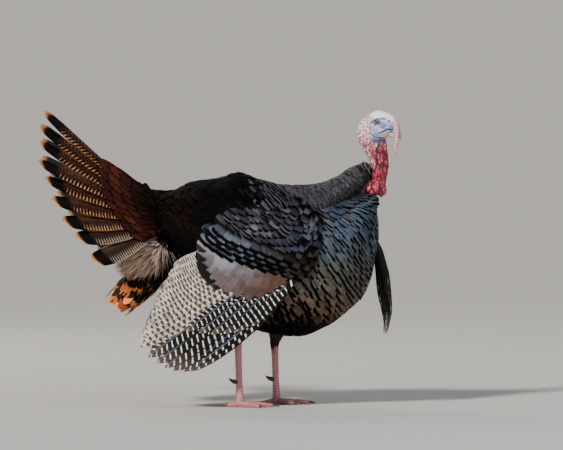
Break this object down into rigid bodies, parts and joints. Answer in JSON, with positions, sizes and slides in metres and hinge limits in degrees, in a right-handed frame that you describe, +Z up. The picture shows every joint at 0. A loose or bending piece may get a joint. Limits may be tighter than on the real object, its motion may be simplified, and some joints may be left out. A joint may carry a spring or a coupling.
{
  "type": "wild turkey tom, standing half strut",
  "caption": "Life-size standing wild turkey tom with its tail half fanned, wings drooped and beard hanging.",
  "frame": {"origin": "on the floor under the middle of the whole bird's bounding box, tail and beard included", "axes": "+X the way the bird faces, +Y to its left, +Z up"},
  "size_m": [0.907, 0.6476, 0.739],
  "materials": {
    "plumage": "bronze and black contour feathers with a metallic sheen",
    "back_plumage": "glossy blue-black feathers",
    "neck_plumage": "small grey-brown scalloped feathers",
    "bare_skin": "bare warty skin, white crown, blue face, red and pink neck",
    "wattle": "smooth swollen red skin",
    "bill": "pale horn",
    "eye": "clear, dark brown",
    "tail_feathers": "barred chestnut and black vanes, buff tips",
    "tail_coverts": "dark chestnut feathers",
    "undertail_coverts": "black feathers with rufous tips",
    "vent_fluff": "soft grey-brown down",
    "wing_panel": "smooth lilac-grey to copper feathers",
    "secondaries": "whitish vanes with brown spots",
    "primaries": "black vanes with white bars",
    "beard": "coarse black bristles",
    "leg_skin": "scaled pinkish red skin",
    "horn": "dark horn"
  },
  "bodies": {
    "root": {"back_saddle": "back_plumage", "beard": "beard", "bill_lower": "bill", "bill_upper": "bill", "claw_hind_left": "horn", "claw_hind_right": "horn", "claw_inner_left": "horn", "claw_inner_right": "horn", "claw_middle_left": "horn", "claw_middle_right": "horn", "claw_outer_left": "horn", "claw_outer_right": "horn", "eye_left": "eye", "eye_right": "eye", "foot_left": "leg_skin", "foot_right": "leg_skin", "head": "bare_skin", "neck_bare": "bare_skin", "neck_feathered": "neck_plumage", "shank_left": "leg_skin", "shank_right": "leg_skin", "snood": "wattle", "spur_left": "horn", "spur_right": "horn", "tail_coverts_left": "tail_coverts", "tail_coverts_right": "tail_coverts", "tail_left": "tail_feathers", "tail_right": "tail_feathers", "thigh_left": "plumage", "thigh_right": "plumage", "trunk": "plumage", "undertail_coverts": "undertail_coverts", "vent_fluff": "vent_fluff", "wattle_front": "wattle", "wattle_left": "wattle", "wattle_right": "wattle", "wing_coverts_left": "wing_panel", "wing_coverts_right": "wing_panel", "wing_primaries_left": "primaries", "wing_primaries_right": "primaries", "wing_secondaries_left": "secondaries", "wing_secondaries_right": "secondaries", "wing_shoulder_left": "plumage", "wing_shoulder_right": "plumage"}
  },
  "joints": []
}
